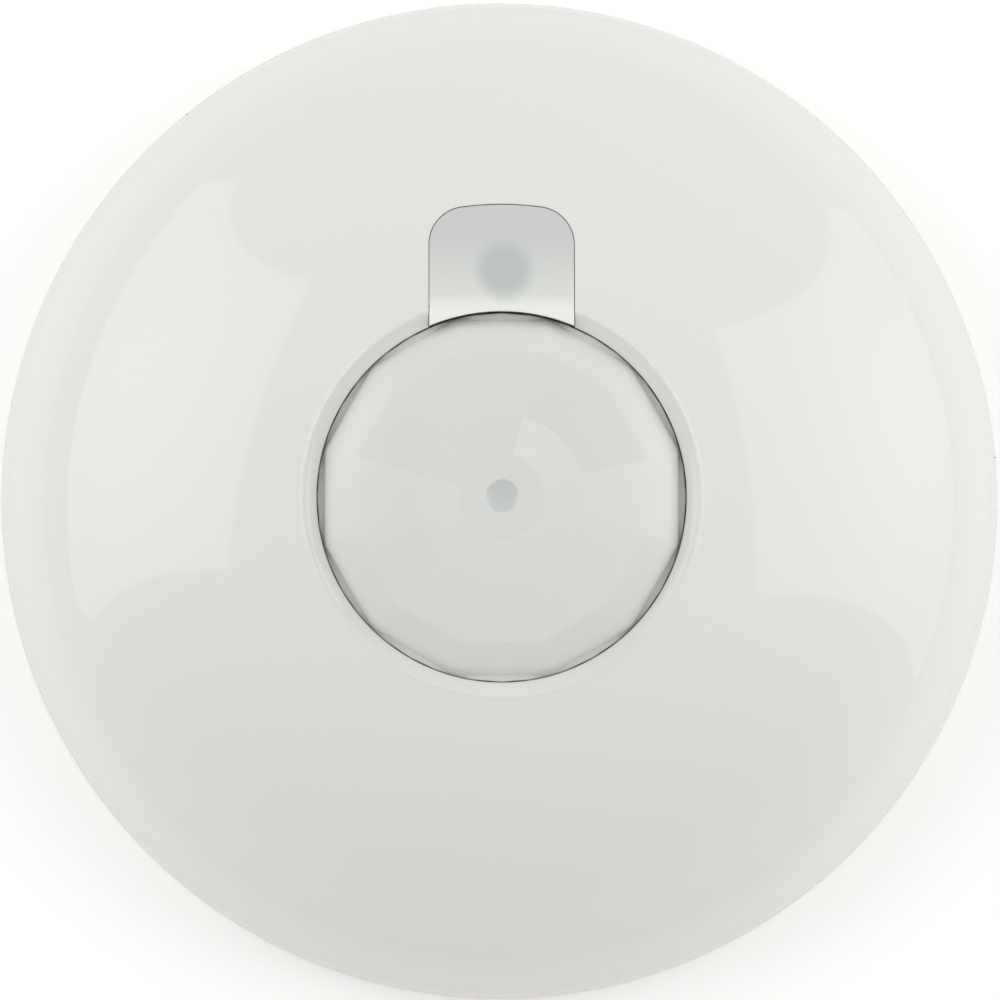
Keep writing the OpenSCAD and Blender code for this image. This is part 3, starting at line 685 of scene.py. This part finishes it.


# ---------------------------------------------------------------- materials
# Radii, in metres, over which the cover's rim turns a little darker (painted shade), and then its thin
# outline (a painted shadow line)
RIM_SHADE_FADE, RIM_SHADOW_LINE = (0.0555, 0.0571), (0.0571, 0.0575)


def cover_plastic():
    material, g = new_material("cover_plastic")
    tone = g.mix(g.noise(22.0), rgb(0.765, 0.765, 0.742), rgb(0.775, 0.773, 0.752))
    x, y, _ = g.split(g.place())
    r = g.length(x, y)
    # Painted shade: the rim turns darker towards its edge and ends in a thin dark line of painted shadow
    tone = g.mix(g.math("MULTIPLY", g.ramp(r, *RIM_SHADE_FADE), 0.2), tone, rgb(0.55, 0.55, 0.53))
    tone = g.mix(g.math("MULTIPLY", g.ramp(r, *RIM_SHADOW_LINE), 0.5), tone, rgb(0.42, 0.42, 0.40))
    rough = g.math("ADD", g.math("MULTIPLY", g.noise(60.0, 3.0), 0.03), 0.035)
    finish_material(g, tone, rough, g.noise(900.0), 0.002, IOR=1.58)
    return material


def window_plastic():
    material, g = new_material("window_plastic")
    x, y, _ = g.split(g.place())
    # Painted shadow: a soft dark spot where the LED behind the milky plastic shows through
    far = g.length(g.math("SUBTRACT", x, LED.x * MM), g.math("SUBTRACT", y, LED.y * MM))
    led_shadow = g.ramp(far, 0.0042, 0.0018)
    # Painted shade: the window turns darker and bluer towards its outer end, away from the lens
    outer_end_shade = g.ramp(y, 0.0215, 0.031)
    tone = g.mix(outer_end_shade, rgb(0.74, 0.755, 0.72), rgb(0.59, 0.61, 0.61))
    # Painted light: the window's end by the lens opening is made much lighter, standing in for light that
    # reaches it there
    tone = g.mix(g.ramp(y, 0.0235, 0.0212), tone, rgb(0.86, 0.87, 0.83))
    tone = g.mix(g.math("MULTIPLY", led_shadow, 0.8), tone, rgb(0.46, 0.51, 0.515))
    finish_material(g, tone, 0.16, g.noise(500.0), 0.003, IOR=1.49)
    return material


def lens_plastic():
    material, g = new_material("lens_plastic")
    # The facets' painted shading, read from the mesh's tone attribute
    tone_of = g.node("ShaderNodeAttribute", out="Fac", attribute_name="tone")
    facet = g.math("ADD", g.math("MULTIPLY", tone_of, 0.5), 0.5)
    tone = g.mix(facet, rgb(0.70, 0.72, 0.705), rgb(0.79, 0.79, 0.75))
    tone = g.mix(g.math("MULTIPLY", g.noise(140.0, 3.0), 0.25), tone, rgb(0.72, 0.73, 0.70))
    x, y, z = g.split(g.place())
    r = g.length(x, y)
    tone = g.mix(g.math("MULTIPLY", g.ramp(r, 0.0051, 0.0046), 0.35), tone, rgb(0.68, 0.70, 0.675))
    dimple = g.math("MULTIPLY", g.ramp(r, 0.0021, 0.0017), g.ramp(z, 0.0325, 0.0333))
    tone = g.mix(g.math("MULTIPLY", dimple, 0.85), tone, rgb(0.585, 0.62, 0.625))
    rough = g.math("SUBTRACT", 0.32, g.math("MULTIPLY", dimple, 0.2))
    finish_material(g, tone, rough, g.noise(420.0), 0.003, IOR=1.52, Subsurface_Weight=0.3,
                    Subsurface_Radius=(1.0, 1.0, 0.9), Subsurface_Scale=0.002)
    return material


def surface(name, low, high, rough, grain=900.0, depth=0.01, patch=70.0, edge=0.12, stretch=None, **sockets):
    """Mottled material with uneven roughness and a fine grain. depth and edge are in mm."""
    material, g = new_material(name)
    tone = g.mix(g.noise(patch, 3.0), rgb(*low), rgb(*high))
    uneven = g.math("ADD", g.math("MULTIPLY", g.noise(patch * 2.5, 3.0), rough[1] - rough[0]), rough[0])
    finish_material(g, tone, uneven, g.noise(grain, 3.0, stretch), depth, edge, **sockets)
    return material


def board_mask():
    """Green solder mask over woven glass, with the bare laminate on the cut edges."""
    material, g = new_material("board")
    x, y, _ = g.split(g.place())
    weave = g.math("MULTIPLY", g.math("SINE", g.math("MULTIPLY", x, 9000)),
                   g.math("SINE", g.math("MULTIPLY", y, 9000)))
    tone = g.mix(g.noise(45.0, 3.0), rgb(0.012, 0.105, 0.045), rgb(0.018, 0.135, 0.06))
    tone = g.mix(g.math("MULTIPLY", g.math("ADD", weave, 1.0), 0.10), tone, rgb(0.05, 0.2, 0.09))
    up = g.split(g.node("ShaderNodeNewGeometry", out="Normal"))[2]
    tone = g.mix(g.ramp(g.math("ABSOLUTE", up), 0.6, 0.4), tone, rgb(0.42, 0.40, 0.22))
    finish_material(g, tone, 0.32, weave, 0.006, 0.1, IOR=1.5)
    return material


METAL = {"Metallic": 1.0}
SLOT_LOOKS = {
    "base_plastic": ((0.72, 0.72, 0.695), (0.76, 0.757, 0.73), (0.42, 0.55),
                     {"grain": 1500.0, "depth": 0.02}),
    "rubber": ((0.022, 0.022, 0.023), (0.04, 0.04, 0.04), (0.6, 0.8), {"grain": 1200.0, "depth": 0.02}),
    "steel": ((0.55, 0.56, 0.57), (0.66, 0.66, 0.66), (0.24, 0.4),
              {"stretch": (1, 1, 9), "edge": 0.08, **METAL}),
    "spring_steel": ((0.58, 0.58, 0.58), (0.68, 0.68, 0.67), (0.18, 0.3),
                     {"stretch": (9, 1, 1), "edge": 0.06, **METAL}),
    "white_plastic": ((0.74, 0.74, 0.72), (0.78, 0.78, 0.76), (0.4, 0.5), {}),
    "gold_metal": ((0.78, 0.56, 0.22), (0.86, 0.66, 0.30), (0.2, 0.34), {"edge": 0.04, **METAL}),
    "can_metal": ((0.58, 0.58, 0.57), (0.68, 0.68, 0.67), (0.14, 0.26), {"stretch": (1, 1, 12), **METAL}),
    "filter": ((0.03, 0.022, 0.035), (0.05, 0.035, 0.055), (0.05, 0.1), {"depth": 0.001, "edge": 0.03}),
    "led_plastic": ((0.42, 0.02, 0.015), (0.5, 0.03, 0.02), (0.06, 0.12),
                    {"depth": 0.002, "Transmission_Weight": 0.35, "IOR": 1.5}),
    "tinned_metal": ((0.6, 0.6, 0.58), (0.7, 0.7, 0.68), (0.28, 0.45), {"edge": 0.04, **METAL}),
    "terminal_plastic": ((0.025, 0.24, 0.075), (0.035, 0.29, 0.095), (0.38, 0.5),
                         {"grain": 1400.0, "depth": 0.015}),
    "brass": ((0.55, 0.40, 0.17), (0.66, 0.50, 0.23), (0.3, 0.45), {"edge": 0.06, **METAL}),
    "black_plastic": ((0.018, 0.018, 0.019), (0.03, 0.03, 0.03), (0.35, 0.5), {}),
    "button_plastic": ((0.5, 0.02, 0.015), (0.58, 0.03, 0.02), (0.3, 0.4), {"edge": 0.08}),
    "relay_plastic": ((0.02, 0.045, 0.13), (0.03, 0.06, 0.17), (0.2, 0.32), {"depth": 0.006}),
    "chip_plastic": ((0.02, 0.02, 0.021), (0.034, 0.034, 0.034), (0.5, 0.65),
                     {"grain": 2200.0, "depth": 0.012}),
    "capacitor_metal": ((0.66, 0.66, 0.67), (0.76, 0.76, 0.77), (0.25, 0.4), {"stretch": (6, 1, 1), **METAL}),
    "sleeve_plastic": ((0.012, 0.016, 0.05), (0.02, 0.026, 0.075), (0.16, 0.28),
                       {"grain": 260.0, "depth": 0.02}),
    "resistor": ((0.012, 0.012, 0.014), (0.03, 0.03, 0.032), (0.22, 0.35), {"edge": 0.05}),
    "ceramic_chip": ((0.36, 0.24, 0.14), (0.44, 0.31, 0.19), (0.35, 0.5), {"edge": 0.08}),
    "diode_glass": ((0.45, 0.07, 0.03), (0.56, 0.12, 0.05), (0.08, 0.16), {"depth": 0.002}),
    "varistor_coating": ((0.02, 0.07, 0.33), (0.03, 0.1, 0.4), (0.2, 0.35),
                         {"grain": 180.0, "depth": 0.05, "edge": 0.3}),
    "cap_plastic": ((0.02, 0.035, 0.22), (0.03, 0.05, 0.28), (0.35, 0.48), {}),
    "trimmer_plastic": ((0.02, 0.09, 0.33), (0.03, 0.12, 0.4), (0.35, 0.48), {}),
}


def make_materials():
    materials = {"cover_plastic": cover_plastic(), "window_plastic": window_plastic(),
                 "lens_plastic": lens_plastic(), "board": board_mask()}
    for slot, (low, high, rough, extra) in SLOT_LOOKS.items():
        materials[slot] = surface(slot, low, high, rough, **extra)
    materials["copper_mask"] = surface("copper_mask", (0.03, 0.2, 0.08), (0.04, 0.24, 0.1),
                                       (0.25, 0.35), edge=0)
    materials["board_ink"] = surface("board_ink", (0.7, 0.7, 0.66), (0.78, 0.78, 0.74), (0.5, 0.6), edge=0)
    materials["sleeve_ink"] = surface("sleeve_ink", (0.55, 0.57, 0.6), (0.66, 0.68, 0.7), (0.3, 0.4), edge=0)
    for row in frame["record"]["subparts"]:
        node = frame["nodes"][row["node"]]
        node.data.materials.clear()
        node.data.materials.append(materials[row["material_slot"]])
    return materials


# ---------------------------------------------------------------- board details, in mm
TERMINAL_X = [(i - 2.5) * 5.08 for i in range(6)]
RESISTORS = [(-27, -4, 0), (-27, 0, 0), (-27, 4, 0), (-27, 8, 0), (-7, -12, 90), (-4.5, -12, 90),
             (-7, 12, 90), (-4.5, 12, 90), (8, 10, 0), (8, 13, 0), (8, 16, 0), (14, -9, 90),
             (17, -9, 90), (-20, 12.5, 0), (-8, 31, 0), (8, 31, 0)]
CHIP_CAPACITORS = [(-7, 3, 90), (-7, 7.5, 90), (-24, 13, 0), (-7, -17, 90), (9, 4, 90), (11.5, -9, 90),
                   (8, 19, 0), (-23, -14, 90), (-15, -19, 0)]
PAD_REACH = (0.6, 1.5)
DIODES = [(0, -27.5), (-6.5, -27.5), (20, -29), (20, -26)]
CHIPS = [(-15, -13, 9.9, 8), (-16, 6, 8.7, 7)]
CANS = [(20, 5, 4, 11.5), (28, 11, 3.15, 11), (28.2, 0.5, 2.5, 11)]
JUMPERS = [(-25, 21), (-18.5, 21), (-12, 21)]
PIN_HOLES = ([(2.54, 0), (-2.54, 0), (0, -2.54), (1.27, 26.5), (-1.27, 26.5), (26, -20.6), (26, -16),
              (26, -11.4)]
             + [(11 + x, -20 + y) for x in (-5, 0, 2.6, 5) for y in (-2.54, 2.54)]
             + [(x, y + s) for x, y in JUMPERS for s in (-1.27, 1.27)] + [(x, -34.05) for x in TERMINAL_X])
TRACKS = [[(TERMINAL_X[0], -34), (TERMINAL_X[0], -30.5), (-16.5, -26.7), (-16.5, -25.8)],
          [(TERMINAL_X[1], -34), (TERMINAL_X[1], -31), (-8.4, -30.2), (-8.4, -27.5)],
          [(TERMINAL_X[2], -34), (TERMINAL_X[2], -30), (-1.9, -29.3), (-1.9, -27.5)],
          [(TERMINAL_X[3], -34), (TERMINAL_X[3], -30), (6, -26.5), (6, -22.54)],
          [(TERMINAL_X[4], -34), (TERMINAL_X[4], -31), (13.6, -25), (13.6, -22.54)],
          [(TERMINAL_X[5], -34), (TERMINAL_X[5], -31.5), (18, -29.5)],
          [(26, -20.6), (23.5, -23.1), (23.5, -24.4), (21.9, -26)],
          [(1.9, -27.5), (1.9, -9), (-2.2, -4.9), (-2.2, -1.2)],
          [(-2.54, 0), (-5.2, 2.7), (-9.8, 2.7)],
          [(2.54, 0), (6.5, 3.96), (6.5, 8.8), (7.2, 9.6)],
          [(1.27, 26.5), (1.27, 22), (6.9, 16.3)],
          [(-1.27, 26.5), (-1.27, 20), (-4.4, 16.9), (-4.4, 13)],
          [(-26.2, 8), (-25, 9.2), (-25, 19.7)],
          [(-18.5, 19.7), (-18.5, 16), (-17.5, 15), (-17.5, 8.8)],
          [(-12, 19.7), (-12, 13), (-14, 11), (-14, 8.8)],
          [(17, 17), (17, 12.5), (20, 9.5), (20, 5)],
          [(8.9, 13), (13, 13), (15, 15), (15, 17)],
          [(26, -11.4), (26, -6), (28.2, -3.8), (28.2, 0.5)]]


def make_board_details(materials):
    rng = random.Random(11)
    tracks, pads, ink = Shell(), Shell(), Shell()
    lines = list(TRACKS)
    for cx, cy, length, pins in CHIPS:
        for i in range(pins):
            x = cx + (i - (pins - 1) / 2) * 1.27
            reach = 1.2 + 0.4 * rng.randrange(4)
            lean = rng.choice((-1, 1)) * (0.6 + 0.3 * rng.randrange(3))
            for side in (-1, 1):
                y = cy + side * 2.8
                lines.append([(x, y), (x, y + side * reach), (x + lean, y + side * (reach + abs(lean)))])
                ribbon(pads, [(x, y - 0.5 * side), (x, y + 0.5 * side)], 0.6, BOARD_Z, 0.02)
    for line in lines:
        ribbon(tracks, line, 0.42, BOARD_Z, 0.035)
        ribbon(pads, ring(*line[-1], 0.32, 16), 0.26, BOARD_Z + 0.035, 0.02, closed=True)
    for x, y in PIN_HOLES:
        ribbon(pads, ring(x, y, 0.92), 0.5, BOARD_Z, 0.05, closed=True)
    for x, y, turn in RESISTORS + CHIP_CAPACITORS:
        ax = Vector((math.cos(math.radians(turn)), math.sin(math.radians(turn))))
        for side in (-1, 1):
            pad_ends = [Vector((x, y)) + ax * side * reach for reach in PAD_REACH]
            ribbon(pads, pad_ends, 1.4, BOARD_Z, 0.02)
    for x, y in DIODES:
        for side in (-1, 1):
            ribbon(pads, [(x + side * 1.2, y), (x + side * 2.3, y)], 1.3, BOARD_Z, 0.02)
    boxes = [(11, -20, 15, 9), (26, -16, 6.8, 13.8), (17, 21, 7.8, 7.8), (0, -36.8, 32.2, 9.4)]
    boxes += [(x, y, 3.5, 6.1) for x, y in JUMPERS]
    for box in boxes:
        ribbon(ink, frame_line(*box), 0.16, BOARD_Z, 0.015, closed=True)
    for x, y, r in [(c[0], c[1], c[2] + 0.5) for c in CANS] + [(0, 0, 7.9), (0, 26.5, 3.4)]:
        ribbon(ink, ring(x, y, r, 64), 0.16, BOARD_Z, 0.015, closed=True)
    for cx, cy, length, _ in CHIPS:
        ribbon(ink, ring(cx - length / 2 - 0.9, cy - 1.6, 0.25, 16), 0.16, BOARD_Z, 0.015, closed=True)
    tracks.build("board_tracks", materials["copper_mask"], "base", "board")
    pads.build("board_pads", materials["tinned_metal"], "base", "tinned_metal")
    ink.build("board_marks", materials["board_ink"], "base", "white_plastic")


def make_chip_ends(materials):
    """Tinned ends of the chip resistors, chip capacitors and glass diodes."""
    ends = []
    for parts, size in ((RESISTORS, (0.42, 1.29, 0.54)), (CHIP_CAPACITORS, (0.46, 1.34, 0.94))):
        for x, y, turn in parts:
            ax = Vector((math.cos(math.radians(turn)), math.sin(math.radians(turn))))
            for side in (-1, 1):
                at = Vector((x, y)) + ax * side * (1.02 - size[0] / 2)
                ends.append((size, (at.x, at.y, BOARD_Z + 0.005 + size[2] / 2), turn))
    rounded_boxes("chip_ends", ends, 0.05, materials["tinned_metal"], "base")
    caps = Shell()
    for x, y in DIODES:
        for side in (-1, 1):
            profile = [(1.26, 0.77), (1.28, 0.79), (1.72, 0.79), (1.79, 0.70)]
            if side < 0:
                profile = [(-h, r) for h, r in reversed(profile)]
            turned(caps, profile, (x, y, BOARD_Z + 0.75), along_x=True)
    caps.build("diode_ends", materials["tinned_metal"], "base", "tinned_metal")


def make_sleeve_stripes(materials):
    """Pale stripe down the minus side of each capacitor's sleeve."""
    stripes = Shell()
    steps, half = 10, math.radians(20)
    for x, y, r, h in CANS:
        loops = []
        for z in (BOARD_Z + 0.5, BOARD_Z + h - 0.4):
            outline = []
            for i in range(steps + 1):
                a = math.pi + half * (2 * i / steps - 1)
                outline.append((x + (r + 0.02) * math.cos(a), y + (r + 0.02) * math.sin(a), z))
            for i in range(steps, -1, -1):
                a = math.pi + half * (2 * i / steps - 1)
                outline.append((x + (r - 0.05) * math.cos(a), y + (r - 0.05) * math.sin(a), z))
            loops.append(outline)
        n = len(loops[0])
        stripes.add(flat_list(loops), skin(loops) + [list(range(n))[::-1], list(range(n, 2 * n))])
    stripes.build("sleeve_stripes", materials["sleeve_ink"], "base", "sleeve_plastic")


make_camera()
make_stage()
all_materials = make_materials()
make_cover(all_materials["cover_plastic"])
make_cover_fittings(all_materials["cover_plastic"])
make_window(all_materials["window_plastic"])
make_lens(all_materials["lens_plastic"])
make_board_details(all_materials)
make_chip_ends(all_materials)
make_sleeve_stripes(all_materials)
